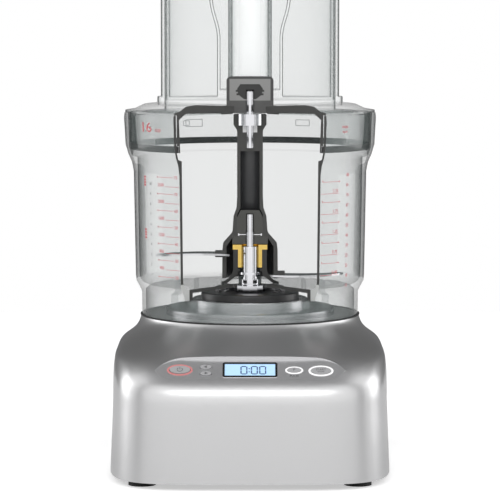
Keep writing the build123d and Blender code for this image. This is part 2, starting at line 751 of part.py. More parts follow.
# ---- Every sub-part, by node name ------------------------------------------------------
MAKERS = [
    base_housing, base_plate, rubber_feet, base_plate_screws, dock_ring, bearing_cover, drive_cup,
    cord_gland, control_panel, lcd_frame, lcd_window, control_board, motor_stator, motor_windings,
    motor_bottom_bracket, motor_top_bracket, motor_mounts, motor_bolts, run_capacitor,
    interlock_switch, drive_shaft, motor_rotor, cooling_fan, drive_nut, shaft_collar, shaft_flange,
    bowl, drive_bush, bowl_handle, handle_grip, interlock_spring, interlock_rod, spindle_body,
    spindle_insert, spindle_clip, spindle_pin, spindle_ring, pin_sleeve, upper_blade, lower_blade,
    lid, lid_seal, hub_shell, hub_base, hub_core, hub_boot, pusher, small_pusher, small_pusher_cap,
]

shapes = {maker.__name__: maker() for maker in MAKERS}
shapes["lower_bearing"] = bearing(4, 11, 14, 21)
shapes["upper_bearing"] = bearing(6, 14, 102, 110)
for ring_name in LIT_RINGS:
    shapes[ring_name] = lit_ring(ring_name)
for button_name in BUTTONS:
    shapes[button_name] = button(button_name)

for node, shape in shapes.items():
    export_step(shape, f"parts/{node}.step")
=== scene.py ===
"""Looks of a large food processor whose bowl, lid and spindle are opened at the front.

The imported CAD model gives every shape, place and joint. This script dresses its nodes, adds
the printed scales, the display digits, the button icons and the small fittings, and sets
up the floor, the lights and the camera.
"""
import json
import logging
import math
from dataclasses import dataclass, field
from enum import Enum
from typing import Dict, Iterable, List, Optional, Protocol, Sequence, Tuple, Union

import bmesh
import bpy
from mathutils import Matrix, Vector


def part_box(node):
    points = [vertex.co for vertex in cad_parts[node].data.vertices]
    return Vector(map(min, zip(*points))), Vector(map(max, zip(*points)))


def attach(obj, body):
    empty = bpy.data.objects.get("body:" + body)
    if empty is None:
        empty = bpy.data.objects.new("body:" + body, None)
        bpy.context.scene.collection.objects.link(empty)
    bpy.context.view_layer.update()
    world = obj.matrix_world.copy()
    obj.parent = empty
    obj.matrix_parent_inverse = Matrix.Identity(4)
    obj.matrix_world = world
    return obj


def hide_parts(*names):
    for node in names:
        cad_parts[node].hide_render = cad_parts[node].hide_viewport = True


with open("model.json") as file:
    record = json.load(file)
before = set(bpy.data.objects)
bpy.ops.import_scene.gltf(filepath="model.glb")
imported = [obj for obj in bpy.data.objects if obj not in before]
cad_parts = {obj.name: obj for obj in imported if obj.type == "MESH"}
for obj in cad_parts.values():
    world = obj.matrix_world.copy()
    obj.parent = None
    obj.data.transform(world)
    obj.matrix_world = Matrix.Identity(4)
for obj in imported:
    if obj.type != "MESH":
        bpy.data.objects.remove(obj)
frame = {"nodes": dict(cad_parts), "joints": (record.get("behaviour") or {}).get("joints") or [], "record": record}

log = logging.getLogger("food_processor")

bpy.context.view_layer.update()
Triple = Tuple[float, float, float]
Colour = Triple
Paint = Union[Colour, bpy.types.NodeSocket]
Number = Union[float, "Reading"]

# Lengths are in metres. The saw leaves section faces, which the finishes colour apart.
WINDOW_HALF_ANGLE = math.radians(36)
WINDOW_FLOOR = 0.1421
SAW_SKIN = 0.00007
# Under this height and outside this radius, the bowl's section is pale.
FOOT_TOP = 0.1558
FOOT_RADIUS = 0.0835
FOOT_COLOUR = (0.55, 0.56, 0.55)
# Lowest lean away from the axis that still counts as outward.
LEAN_SLACK = -0.002
# Fine lines of turned metal, in radians a metre, across and up.
TURNED_ACROSS = 9000.0
TURNED_UP = 7000.0
# Points of a CAD node closer than the first are one, and edges shorter than the second go.
WELD = 0.000004
STUB = 0.000002
PRINT_THICK = 0.00008
ICON_THICK = 0.00012
LETTER_THICK = 0.0001
# Height of a capital as a share of the lettering's size.
CAPITAL = 0.7


# ---- Shader building -------------------------------------------------------------------
class Reading:
    """A number socket that can be used in Python arithmetic."""

    def __init__(self, board: "Board", socket: bpy.types.NodeSocket) -> None:
        """Wrap a socket of a board."""
        self.board = board
        self.socket = socket

    def _math(self, operation: str, *values: Number, clamp: bool = False) -> "Reading":
        """Add one Math node.

        Args:
            operation: the node's operation.
            values: the numbers or readings that feed it, in order.
            clamp: whether the result is held between 0 and 1.

        Returns:
            The node's result.
        """
        node = self.board.node(
            "ShaderNodeMath", {"operation": operation, "use_clamp": clamp}, dict(enumerate(values))
        )
        return Reading(self.board, node.outputs[0])

    def __add__(self, other: Number) -> "Reading":
        """Sum."""
        return self._math("ADD", self, other)

    __radd__ = __add__

    def __sub__(self, other: Number) -> "Reading":
        """Difference."""
        return self._math("SUBTRACT", self, other)

    def __rsub__(self, other: Number) -> "Reading":
        """Difference from a number."""
        return self._math("SUBTRACT", other, self)

    def __mul__(self, other: Number) -> "Reading":
        """Product."""
        return self._math("MULTIPLY", self, other)

    __rmul__ = __mul__

    def __truediv__(self, other: Number) -> "Reading":
        """Quotient."""
        return self._math("DIVIDE", self, other)

    def __pow__(self, other: Number) -> "Reading":
        """Power."""
        return self._math("POWER", self, other)

    def __abs__(self) -> "Reading":
        """Size without sign."""
        return self._math("ABSOLUTE", self)

    def below(self, limit: float) -> "Reading":
        """1 where the reading is under the limit, else 0."""
        return self._math("LESS_THAN", self, limit)

    def above(self, limit: float) -> "Reading":
        """1 where the reading is over the limit, else 0."""
        return self._math("GREATER_THAN", self, limit)

    def held(self) -> "Reading":
        """The reading held between 0 and 1."""
        return self._math("ADD", self, 0.0, clamp=True)

    def either(self, other: "Reading") -> "Reading":
        """The larger of two readings."""
        return self._math("MAXIMUM", self, other)

    def wave(self) -> "Reading":
        """Sine of the reading."""
        return self._math("SINE", self)

    def root(self) -> "Reading":
        """Square root of the reading."""
        return self._math("SQRT", self)


class Board:
    """One material's node tree, ending in a Principled shader or a mix of two shaders."""

    def __init__(self, name: str, tree: Optional[bpy.types.NodeTree] = None) -> None:
        """Start an empty material, or work on a given tree.

        Args:
            name: the new material's name.
            tree: a tree to clear and work on instead.
        """
        self.material: Optional[bpy.types.Material] = None
        if tree is None:
            self.material = bpy.data.materials.new(name)
            self.material.use_nodes = True
        self.tree = tree or self.material.node_tree
        self.tree.nodes.clear()

    def node(
        self,
        kind: str,
        settings: Optional[dict] = None,
        inputs: Optional[dict] = None,
    ) -> bpy.types.Node:
        """Make any node.

        Args:
            kind: the node's type.
            settings: attributes, and "stops" for a ramp, set before the sockets.
            inputs: values, readings or sockets by socket name or index.

        Returns:
            The new node.
        """
        made = self.tree.nodes.new(kind)
        for key, value in (settings or {}).items():
            if key == "stops":
                self._set_stops(made, value)
            else:
                setattr(made, key, value)
        for key, value in (inputs or {}).items():
            self._feed(made.inputs[key], value)
        return made

    def _set_stops(self, ramp: bpy.types.Node, stops: Sequence[Tuple[float, Colour]]) -> None:
        """Give a ramp its stops.

        Args:
            ramp: the ramp node.
            stops: place and colour of each stop.
        """
        elements = ramp.color_ramp.elements
        while len(elements) < len(stops):
            elements.new(1.0)
        for element, (place, colour) in zip(elements, stops):
            element.position = place
            element.color = (*colour, 1.0)

    def _feed(self, socket: bpy.types.NodeSocket, value: object) -> None:
        """Set or link one socket.

        Args:
            socket: the input to feed.
            value: a reading, a socket, a colour or a plain value.
        """
        if isinstance(value, Reading):
            self.tree.links.new(value.socket, socket)
        elif isinstance(value, bpy.types.NodeSocket):
            self.tree.links.new(value, socket)
        elif isinstance(value, tuple) and socket.type == "RGBA":
            socket.default_value = (*value, 1.0)
        else:
            socket.default_value = value

    def place(self) -> bpy.types.NodeSocket:
        """The point's place in the row frame at rest."""
        return self.node("ShaderNodeTexCoord").outputs["Object"]

    def axes(self) -> Tuple["Reading", "Reading", "Reading"]:
        """The three coordinates of the point's place."""
        split = self.node("ShaderNodeSeparateXYZ", inputs={0: self.place()})
        return tuple(Reading(self, split.outputs[i]) for i in range(3))

    def outward_front(self) -> "Reading":
        """Pick out the outer side of faces that point away from the axis.

        Returns:
            A reading that is 1 there, else 0.
        """
        geometry = self.node("ShaderNodeNewGeometry")
        radial = self.node("ShaderNodeVectorMath", {"operation": "MULTIPLY"},
                           {0: self.place(), 1: (1.0, 1.0, 0.0)})
        lean = self.node("ShaderNodeVectorMath", {"operation": "DOT_PRODUCT"},
                         {0: radial.outputs[0], 1: geometry.outputs["Normal"]})
        away = Reading(self, lean.outputs["Value"]).above(LEAN_SLACK)
        return away * (1.0 - Reading(self, geometry.outputs["Backfacing"]))

    def noise(self, scale: float, detail: float = 2.0, stretch: Triple = (1, 1, 1)) -> "Reading":
        """Noise over the object.

        Args:
            scale: how fine it is.
            detail: how many finer layers are added.
            stretch: factors on the three coordinates.

        Returns:
            The noise, between 0 and 1.
        """
        mapping = self.node("ShaderNodeMapping", inputs={0: self.place(), "Scale": Vector(stretch)})
        node = self.node(
            "ShaderNodeTexNoise",
            inputs={"Vector": mapping.outputs[0], "Scale": scale, "Detail": detail},
        )
        return Reading(self, node.outputs[0])

    def mix(self, mask: Number, first: Paint, second: Paint) -> bpy.types.NodeSocket:
        """Colour that is first where the mask is 0 and second where it is 1."""
        node = self.node("ShaderNodeMix", {"data_type": "RGBA"}, {0: mask, 6: first, 7: second})
        return node.outputs[2]

    def bump(self, height: "Reading", strength: float, distance: float) -> bpy.types.NodeSocket:
        """Normal bent by a height.

        Args:
            height: the height over the surface.
            strength: how much of it is felt.
            distance: how far a height of 1 stands up.

        Returns:
            The bent normal.
        """
        node = self.node(
            "ShaderNodeBump", inputs={"Height": height, "Strength": strength, "Distance": distance}
        )
        return node.outputs[0]

    def principled(self, **inputs: object) -> bpy.types.Node:
        """Principled shader, with socket names written with underscores."""
        named = {key.replace("_", " "): value for key, value in inputs.items()}
        return self.node("ShaderNodeBsdfPrincipled", inputs=named)

    def finish(self, shader: bpy.types.Node) -> bpy.types.Material:
        """Link the last shader to the output.

        Args:
            shader: the node whose first output is the material's surface.

        Returns:
            The finished material.
        """
        output = self.node("ShaderNodeOutputMaterial")
        self.tree.links.new(shader.outputs[0], output.inputs[0])
        return self.material


class Cut(Enum):
    """How a part was opened, which decides where its section faces are."""

    WHOLE = 0
    SPLIT = 1
    WINDOW = 2


def section_mask(board: Board, cut: Cut, well_radius: float = 0.0) -> Optional[Reading]:
    """Mask of the faces left by the saw.

    Args:
        board: the material's board.
        cut: how the part was opened.
        well_radius: radius of the opening round the axis, for a window cut.

    Returns:
        A reading that is 1 on the section faces, or None for a whole part.
    """
    if cut is Cut.WHOLE:
        return None
    x, y, z = board.axes()
    on_axis_plane = abs(y).below(SAW_SKIN)
    if cut is Cut.SPLIT:
        return on_axis_plane
    from_plane = abs(x) * math.cos(WINDOW_HALF_ANGLE) + y * math.sin(WINDOW_HALF_ANGLE)
    radius = (x * x + y * y).root()
    sector = abs(from_plane).below(SAW_SKIN)
    well = abs(radius - well_radius).below(SAW_SKIN) * y.below(0.0)
    middle = on_axis_plane * radius.below(well_radius + SAW_SKIN)
    return sector.either(well).either(middle) * z.above(WINDOW_FLOOR)


# ---- Finishes --------------------------------------------------------------------------
class Finish(Protocol):
    """What every finish has: a name, and a way to make its material."""

    name: str

    def build(self) -> bpy.types.Material:
        """Make the material."""


@dataclass(frozen=True)
class SatinPaint:
    """Silver paint with metal flake over a casting."""

    name: str
    colour: Colour = (0.66, 0.66, 0.665)
    roughness: float = 0.3

    def build(self) -> bpy.types.Material:
        """Make the material.

        Returns:
            The new material.
        """
        board = Board(self.name)
        flake = board.noise(2600.0, 1.0)
        cloud = board.noise(18.0, 3.0)
        tint = tuple(min(1.0, c * 1.07) for c in self.colour)
        shader = board.principled(
            Base_Color=board.mix(flake, self.colour, tint),
            Metallic=0.92,
            Roughness=self.roughness + (cloud - 0.5) * 0.05 + (flake - 0.5) * 0.06,
            Normal=board.bump(flake, 0.08, 0.0002),
        )
        return board.finish(shader)


class Lay(Enum):
    """Direction of the fine lines that machining leaves."""

    TURNED = 0
    ALONG_X = 1
    POLISHED = 2


@dataclass(frozen=True)
class Metal:
    """Bare metal with the lines of its machining."""

    name: str
    colour: Colour = (0.74, 0.74, 0.76)
    roughness: float = 0.22
    lay: Lay = Lay.POLISHED

    def build(self) -> bpy.types.Material:
        """Make the material.

        Returns:
            The new material.
        """
        board = Board(self.name)
        x, y, z = board.axes()
        if self.lay is Lay.TURNED:
            radius = (x * x + y * y).root()
            lines = (radius * TURNED_ACROSS).wave() * 0.3 + (z * TURNED_UP).wave() * 0.3
        elif self.lay is Lay.ALONG_X:
            lines = board.noise(900.0, 2.0, (0.02, 1.0, 1.0)) * 2.0 - 1.0
        else:
            lines = board.noise(420.0, 2.0) * 2.0 - 1.0
        smudge = board.noise(60.0, 2.0)
        worn = tuple(c * 0.86 for c in self.colour)
        shader = board.principled(
            Base_Color=board.mix(smudge, worn, self.colour),
            Metallic=1.0,
            Roughness=(self.roughness + lines * 0.03 + (smudge - 0.5) * 0.05).held(),
            Normal=board.bump(lines, 0.02, 0.0001),
        )
        return board.finish(shader)


@dataclass(frozen=True)
class Moulded:
    """Opaque moulded plastic, with its own colour on section faces and an optional glow, which is painted light.
    """

    name: str
    colour: Colour
    roughness: float = 0.42
    cut: Cut = Cut.WHOLE
    cut_colour: Colour = (0.065, 0.065, 0.062)
    grain: float = 0.12
    coat: float = 0.0
    # glow: emission strength; on a plastic that is no lamp it is painted light.
    glow: float = 0.0

    def build(self) -> bpy.types.Material:
        """Make the material.

        Returns:
            The new material.
        """
        board = Board(self.name)
        grain = board.noise(1500.0, 2.0)
        cloud = board.noise(40.0, 2.0)
        dark = tuple(c * 0.88 for c in self.colour)
        skin: Paint = board.mix(cloud, dark, self.colour)
        roughness = self.roughness + (cloud - 0.5) * 0.08
        mask = section_mask(board, self.cut)
        coat: Number = self.coat
        if mask is not None:
            skin = board.mix(mask, skin, self.cut_colour)
            roughness = roughness + mask * (0.75 - self.roughness)
            coat = self.coat * (1.0 - mask)
        shader = board.principled(
            Base_Color=skin,
            Roughness=roughness,
            Normal=board.bump(grain, self.grain, 0.0002),
            Coat_Weight=coat,
            Coat_Roughness=0.15,
            Emission_Color=self.colour,
            Emission_Strength=self.glow,
        )
        return board.finish(shader)


@dataclass(frozen=True)
class ClearPlastic:
    """Clear moulded plastic: nearly invisible face on, grey at grazing angles, where painted shade darkens its
    colour.
    """

    name: str
    well_radius: float
    face_alpha: float = 0.095
    edge_alpha: float = 0.72
    edge_power: float = 3.0
    face_colour: Colour = (0.42, 0.50, 0.49)
    # edge_shade_colour is painted shade: the dark colour that grazing faces turn to.
    edge_shade_colour: Colour = (0.045, 0.055, 0.053)
    section_colour: Colour = (0.050, 0.050, 0.048)
    level_fade: float = 0.78

    def build(self) -> bpy.types.Material:
        """Make the material.

        Returns:
            The new material.
        """
        board = Board(self.name)
        weight = board.node("ShaderNodeLayerWeight", inputs={"Blend": 0.5})
        facing = Reading(board, weight.outputs["Facing"])
        geometry = board.node("ShaderNodeNewGeometry")
        level = board.node("ShaderNodeSeparateXYZ", inputs={0: geometry.outputs["Normal"]})
        # Painted shade: upright faces turn opaque and dark towards grazing angles, and level faces keep less of
        # it.
        upright = 1.0 - self.level_fade * abs(Reading(board, level.outputs[2]))
        rim = facing**self.edge_power * upright
        section = section_mask(board, Cut.WINDOW, self.well_radius)
        flow = board.noise(9.0, 2.0, (1.0, 1.0, 0.25))
        x, y, z = board.axes()
        foot = z.below(FOOT_TOP) * (x * x + y * y).root().above(FOOT_RADIUS)
        section_tone = board.mix(foot, self.section_colour, FOOT_COLOUR)
        # Painted shade: the colour darkens from face_colour to the edge shade towards grazing angles.
        colour = board.mix((facing * 1.25).held(), self.face_colour, self.edge_shade_colour)
        film = self.face_alpha + rim * (self.edge_alpha - self.face_alpha) + (flow - 0.5) * 0.02
        body = board.principled(
            Base_Color=board.mix(section, colour, section_tone),
            Roughness=0.06 + section * 0.5,
            Alpha=(film + section).held(),
            Normal=board.bump(flow, 0.05, 0.0005),
            Specular_IOR_Level=0.3,
        )
        shine = board.principled(Base_Color=(1.0, 1.0, 1.0), Metallic=1.0, Roughness=0.05)
        glint = (0.03 + 0.3 * facing**4.0) * (1.0 - section) * board.outward_front()
        both = board.node(
            "ShaderNodeMixShader", inputs={0: glint, 1: body.outputs[0], 2: shine.outputs[0]}
        )
        return board.finish(both)


@dataclass(frozen=True)
class Lit:
    """A surface that glows softly."""

    name: str
    colour: Colour
    glow: float

    def build(self) -> bpy.types.Material:
        """Make the material.

        Returns:
            The new material.
        """
        board = Board(self.name)
        speck = board.noise(300.0, 1.0)
        dim = tuple(c * 0.92 for c in self.colour)
        tone = board.mix(speck, dim, self.colour)
        shader = board.principled(
            Base_Color=tone, Emission_Color=tone, Emission_Strength=self.glow, Roughness=0.3
        )
        return board.finish(shader)


@dataclass(frozen=True)
class Ink:
    """Flat printed ink."""

    name: str
    colour: Colour

    def build(self) -> bpy.types.Material:
        """Make the material.

        Returns:
            The new material.
        """
        board = Board(self.name)
        patch = board.noise(700.0, 2.0)
        pale = tuple(c + (1.0 - c) * 0.12 for c in self.colour)
        shader = board.principled(Base_Color=board.mix(patch, self.colour, pale), Roughness=0.55)
        return board.finish(shader)


class Finishes:
    """Every finish of the machine, made once and shared."""

    def __init__(self) -> None:
        """Start with nothing made."""
        self._made: Dict[str, bpy.types.Material] = {}

    def get(self, finish: Finish) -> bpy.types.Material:
        """Material of a finish, made on its first use.

        Args:
            finish: the finish.

        Returns:
            Its one material.
        """
        if finish.name not in self._made:
            self._made[finish.name] = finish.build()
        return self._made[finish.name]


FINISHES = Finishes()

SILVER = SatinPaint("satin_silver", (0.63, 0.63, 0.635))
# The panel's silver is the base's paint made lighter: painted light that makes up for the shade in its recess.
PANEL_SILVER_LIGHTENED = SatinPaint("panel_silver", (0.80, 0.80, 0.81), 0.36)
DOCK = Metal("dock_turned", (0.42, 0.42, 0.43), 0.22, Lay.TURNED)
STEEL = Metal("turned_steel", (0.86, 0.86, 0.89), 0.10, Lay.TURNED)
BLADE_STEEL = Metal("blade_steel", (0.78, 0.78, 0.80), 0.14, Lay.ALONG_X)
TRIM = Metal("bright_trim", (0.82, 0.82, 0.84), 0.12)
DARK_METAL = Metal("dark_nickel", (0.55, 0.55, 0.56), 0.2, Lay.TURNED)
BRASS = Metal("bright_brass", (0.86, 0.60, 0.17), 0.24, Lay.TURNED)
COPPER = Metal("enamelled_copper", (0.72, 0.34, 0.16), 0.3, Lay.TURNED)
CAST = Metal("cast_aluminium", (0.55, 0.56, 0.57), 0.42)
LAMINATION = Metal("lamination", (0.30, 0.30, 0.32), 0.45, Lay.TURNED)
DARK_PLASTIC = Moulded("spindle_plastic", (0.035, 0.036, 0.038), 0.3, Cut.SPLIT, coat=0.35)
INSERT_PLASTIC = Moulded(
    "insert_plastic", (0.04, 0.04, 0.04), 0.5, Cut.SPLIT, (0.078, 0.078, 0.072)
)
SHELL_PLASTIC = Moulded("hub_plastic", (0.04, 0.04, 0.042), 0.35, Cut.SPLIT, (0.072, 0.072, 0.072))
HUB_BASE_PLASTIC = Moulded(
    "hub_base_plastic", (0.05, 0.05, 0.05), 0.5, Cut.SPLIT, (0.10, 0.10, 0.098)
)
CORE_PLASTIC = Moulded("core_plastic", (0.25, 0.25, 0.25), 0.5, Cut.SPLIT, (0.28, 0.28, 0.275))
BOOT_RUBBER = Moulded("boot_rubber", (0.03, 0.03, 0.03), 0.7, Cut.SPLIT, (0.042, 0.042, 0.041))
SLEEVE_PLASTIC = Moulded("sleeve_plastic", (0.75, 0.75, 0.76), 0.35, Cut.SPLIT, (0.8, 0.8, 0.8))
BLACK_PLASTIC = Moulded("black_plastic", (0.018, 0.018, 0.019), 0.36, coat=0.2)
HANDLE_PLASTIC = Moulded("handle_plastic", (0.045, 0.046, 0.048), 0.4, coat=0.1)
RUBBER = Moulded("black_rubber", (0.022, 0.022, 0.022), 0.72, grain=0.3)
SEAL_RUBBER = Moulded("seal_rubber", (0.010, 0.010, 0.010), 0.5)
BUTTON_GREY = Moulded("button_grey", (0.46, 0.46, 0.47), 0.35, grain=0.04, coat=0.3)
# The small pusher's plastic glows: painted light that lifts it to white.
GLOWING_WHITE_PLASTIC = Moulded("white_plastic", (0.94, 0.94, 0.94), 0.3, grain=0.03, glow=0.5)
MOULD_MARK = Moulded("mould_mark", (0.50, 0.53, 0.53), 0.4)
CAP_PLASTIC = Moulded("cap_plastic", (0.30, 0.31, 0.32), 0.35, coat=0.2)
BOARD_GREEN = Moulded("circuit_board", (0.02, 0.12, 0.05), 0.5)
BOWL_CLEAR = ClearPlastic("clear_bowl", 0.024, 0.13, 0.97, 4.2)
LID_CLEAR = ClearPlastic("clear_lid", 0.022, 0.055, 0.98, 2.4)
PUSHER_CLEAR = ClearPlastic("clear_pusher", 0.001, 0.02, 0.98, 2.2)
RING_WHITE = Lit("lit_white_ring", (0.95, 0.95, 0.95), 0.35)
RING_RED = Lit("lit_red_ring", (0.70, 0.27, 0.27), 0.05)
DISPLAY_BLUE = Lit("display_blue", (0.44, 0.66, 0.87), 0.45)
DIGIT_INK = Ink("display_digit", (0.015, 0.06, 0.22))
RED_INK = Ink("red_print", (0.55, 0.055, 0.07))
BLACK_INK = Ink("grey_print", (0.10, 0.10, 0.10))
ICON_INK = Ink("icon_grey", (0.09, 0.09, 0.095))

DRESS: Dict[Finish, List[str]] = {
    SILVER: ["base_housing"],
    PANEL_SILVER_LIGHTENED: ["control_panel"],
    DOCK: ["dock_ring"],
    BLACK_PLASTIC: ["bearing_cover", "base_plate", "cord_gland", "interlock_switch", "cooling_fan"],
    DARK_METAL: ["drive_cup"],
    STEEL: [
        "drive_shaft", "drive_nut", "shaft_collar", "shaft_flange", "spindle_pin", "spindle_ring",
        "lower_bearing", "upper_bearing", "base_plate_screws", "motor_bolts", "interlock_rod",
        "interlock_spring", "spindle_clip",
    ],
    BLADE_STEEL: ["upper_blade", "lower_blade"],
    TRIM: ["lcd_frame"],
    RING_WHITE: ["pulse_ring", "start_ring"],
    RING_RED: ["power_ring"],
    DISPLAY_BLUE: ["lcd_window"],
    BUTTON_GREY: [
        "power_button", "timer_up_button", "timer_down_button", "pulse_button", "start_button",
    ],
    BOARD_GREEN: ["control_board"],
    RUBBER: ["rubber_feet", "motor_mounts", "handle_grip"],
    SEAL_RUBBER: ["lid_seal"],
    BOOT_RUBBER: ["hub_boot"],
    LAMINATION: ["motor_stator", "motor_rotor"],
    COPPER: ["motor_windings"],
    CAST: ["motor_bottom_bracket", "motor_top_bracket", "run_capacitor"],
    BOWL_CLEAR: ["bowl"],
    LID_CLEAR: ["lid"],
    PUSHER_CLEAR: ["pusher"],
    BRASS: ["drive_bush"],
    DARK_PLASTIC: ["spindle_body"],
    INSERT_PLASTIC: ["spindle_insert"],
    SHELL_PLASTIC: ["hub_shell"],
    HUB_BASE_PLASTIC: ["hub_base"],
    HANDLE_PLASTIC: ["bowl_handle"],
    CORE_PLASTIC: ["hub_core"],
    SLEEVE_PLASTIC: ["pin_sleeve"],
    GLOWING_WHITE_PLASTIC: ["small_pusher"],
    CAP_PLASTIC: ["small_pusher_cap"],
}


# ---- Making pieces ---------------------------------------------------------------------
def body_of_node(node: str) -> str:
    """Body that a CAD node rides on.

    Args:
        node: the node's name.

    Returns:
        The body's name.
    """
    for body, members in frame["record"]["behaviour"]["bodies"].items():
        if node in members:
            return body
    raise KeyError(node)


def add_piece(name: str, shape: bmesh.types.BMesh, finish: Finish, body: str,
              smooth: bool = True) -> bpy.types.Object:
    """Turn a finished bmesh into a piece that rides on a body.

    Args:
        name: the piece's name.
        shape: its mesh, in the row frame; it is freed here.
        finish: its finish.
        body: the CAD body it rides on.
        smooth: whether its faces are shaded smooth between sharp edges.

    Returns:
        The new object.
    """
    bmesh.ops.recalc_face_normals(shape, faces=shape.faces)
    mesh = bpy.data.meshes.new(name)
    shape.to_mesh(mesh)
    shape.free()
    if smooth:
        shade(mesh, 35.0)
    piece = bpy.data.objects.new(name, mesh)
    bpy.context.scene.collection.objects.link(piece)
    mesh.materials.append(FINISHES.get(finish))
    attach(piece, body)
    log.info("%s rides on %s", name, body)
    return piece


def shade(mesh: bpy.types.Mesh, angle: float) -> None:
    """Shade a mesh smooth.

    Args:
        mesh: the mesh, whose stored normals are dropped.
        angle: edges sharper than this stay sharp, in degrees.
    """
    if "custom_normal" in mesh.attributes:
        mesh.attributes.remove(mesh.attributes["custom_normal"])
    mesh.polygons.foreach_set("use_smooth", [True] * len(mesh.polygons))
    mesh.set_sharp_from_angle(angle=math.radians(angle))


def refined_copy(node: str, finish: Finish, angle: float = 28.0) -> bpy.types.Object:
    """A welded, smooth-shaded copy of a CAD node, which stands for it.

    Args:
        node: the CAD node.
        finish: its finish.
        angle: edges sharper than this stay sharp, in degrees.

    Returns:
        The new object.
    """
    shape = bmesh.new()
    shape.from_mesh(frame["nodes"][node].data)
    bmesh.ops.remove_doubles(shape, verts=shape.verts, dist=WELD)
    bmesh.ops.dissolve_degenerate(shape, edges=shape.edges, dist=STUB)
    mesh = bpy.data.meshes.new(f"{node}_surface")
    shape.to_mesh(mesh)
    shape.free()
    shade(mesh, angle)
    piece = bpy.data.objects.new(f"{node}_surface", mesh)
    bpy.context.scene.collection.objects.link(piece)
    mesh.materials.append(FINISHES.get(finish))
    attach(piece, body_of_node(node))
    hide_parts(node)
    log.info("%s stands for %s", piece.name, node)
    return piece


def merged(parts: Iterable[bmesh.types.BMesh]) -> bmesh.types.BMesh:
    """Several bmeshes as one.

    Args:
        parts: the bmeshes, which are freed here.

    Returns:
        A bmesh that holds them all.
    """
    whole = bmesh.new()
    for part in parts:
        keep = bpy.data.meshes.new("part")
        part.to_mesh(keep)
        part.free()
        whole.from_mesh(keep)
        bpy.data.meshes.remove(keep)
    return whole


def bar(size: Sequence[float], centre: Sequence[float], bevel: float = 0.0) -> bmesh.types.BMesh:
    """Box about a centre.

    Args:
        size: its three lengths.
        centre: its centre.
        bevel: how far its edges are eased.

    Returns:
        The box.
    """
    shape = bmesh.new()
    bmesh.ops.create_cube(shape, size=1.0)
    bmesh.ops.scale(shape, verts=shape.verts, vec=Vector(size))
    if bevel:
        bmesh.ops.bevel(shape, geom=shape.edges, offset=bevel, segments=2, profile=0.5,
                        affect="EDGES", material=-1)
    bmesh.ops.translate(shape, verts=shape.verts, vec=Vector(centre))
    return shape


def text_shape(words: str, height: float, depth: float) -> bmesh.types.BMesh:
    """Raised lettering centred on the origin, in the XY plane.

    Args:
        words: what it says.
        height: height of a capital.
        depth: how far it stands up.

    Returns:
        The lettering as a closed mesh.
    """
    curve = bpy.data.curves.new("lettering", "FONT")
    curve.body = words
    curve.size = height / CAPITAL
    curve.align_x = "CENTER"
    curve.align_y = "CENTER"
    curve.extrude = depth / 2
    curve.resolution_u = 3
    holder = bpy.data.objects.new("lettering", curve)
    bpy.context.scene.collection.objects.link(holder)
    flat = bpy.data.meshes.new_from_object(holder)
    shape = bmesh.new()
    shape.from_mesh(flat)
    bmesh.ops.remove_doubles(shape, verts=shape.verts, dist=0.000001)
    bpy.data.objects.remove(holder)
    bpy.data.curves.remove(curve)
    bpy.data.meshes.remove(flat)
    return shape


@dataclass
class RoundWall:
    """The outer surface of a slightly conical wall, for prints that wrap round it."""

    low: Tuple[float, float]
    high: Tuple[float, float]
    lift: float = 0.00006

    def radius(self, z: float) -> float:
        """Outer radius at a height."""
        share = (z - self.low[1]) / (self.high[1] - self.low[1])
        return self.low[0] + share * (self.high[0] - self.low[0]) + self.lift

    def wrap(self, shape: bmesh.types.BMesh, angle: float, z: float) -> bmesh.types.BMesh:
        """Wrap a flat print round the wall.

        Args:
            shape: a print in the XY plane, centred on the origin.
            angle: degrees from the front, positive to the right.
            z: height of its centre.

        Returns:
            The same mesh, wrapped.
        """
        turn = math.radians(angle)
        for vert in shape.verts:
            height = z + vert.co.y
            reach = self.radius(height) + vert.co.z
            at = turn + vert.co.x / self.radius(z)
            vert.co = Vector((reach * math.sin(at), -reach * math.cos(at), height))
        return shape


@dataclass
class PanelFrame:
    """The plane of the control panel, taken from the display's place and a button's travel."""

    origin: Vector = field(default_factory=Vector)
    normal: Vector = field(default_factory=Vector)
    up: Vector = field(default_factory=Vector)

    def __post_init__(self) -> None:
        """Read the plane from the frame."""
        press = next(j for j in frame["joints"] if j["name"] == "power_button_press")
        self.normal = -Vector(press["axis"]).normalized()
        self.up = self.normal.cross(Vector((1, 0, 0)))
        low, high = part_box("lcd_window")
        self.origin = (low + high) / 2 + self.normal * 0.001

    def lay(
        self, shape: bmesh.types.BMesh, u: float, v: float, height: float
    ) -> bmesh.types.BMesh:
        """Lay a flat shape on the panel.

        Args:
            shape: a shape in the XY plane, centred on the origin.
            u: sideways place.
            v: upward place.
            height: height above the fascia.

        Returns:
            The same mesh, laid.
        """
        columns = (Vector((1, 0, 0)), self.up, self.normal)
        centre = self.origin + columns[0] * u + self.up * v + self.normal * height
        rows = [[column[r] for column in columns] + [centre[r]] for r in range(3)]
        matrix = Matrix(rows + [[0, 0, 0, 1]])
        bmesh.ops.transform(shape, matrix=matrix, verts=shape.verts)
        return shape

    def of_node(self, node: str) -> Tuple[float, float, float]:
        """Where a node sits on the panel.

        Args:
            node: the node's name.

        Returns:
            Its sideways place, upward place and mean height.
        """
        low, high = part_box(node)
        away = (low + high) / 2 - self.origin
        return away.x, away.dot(self.up), away.dot(self.normal)


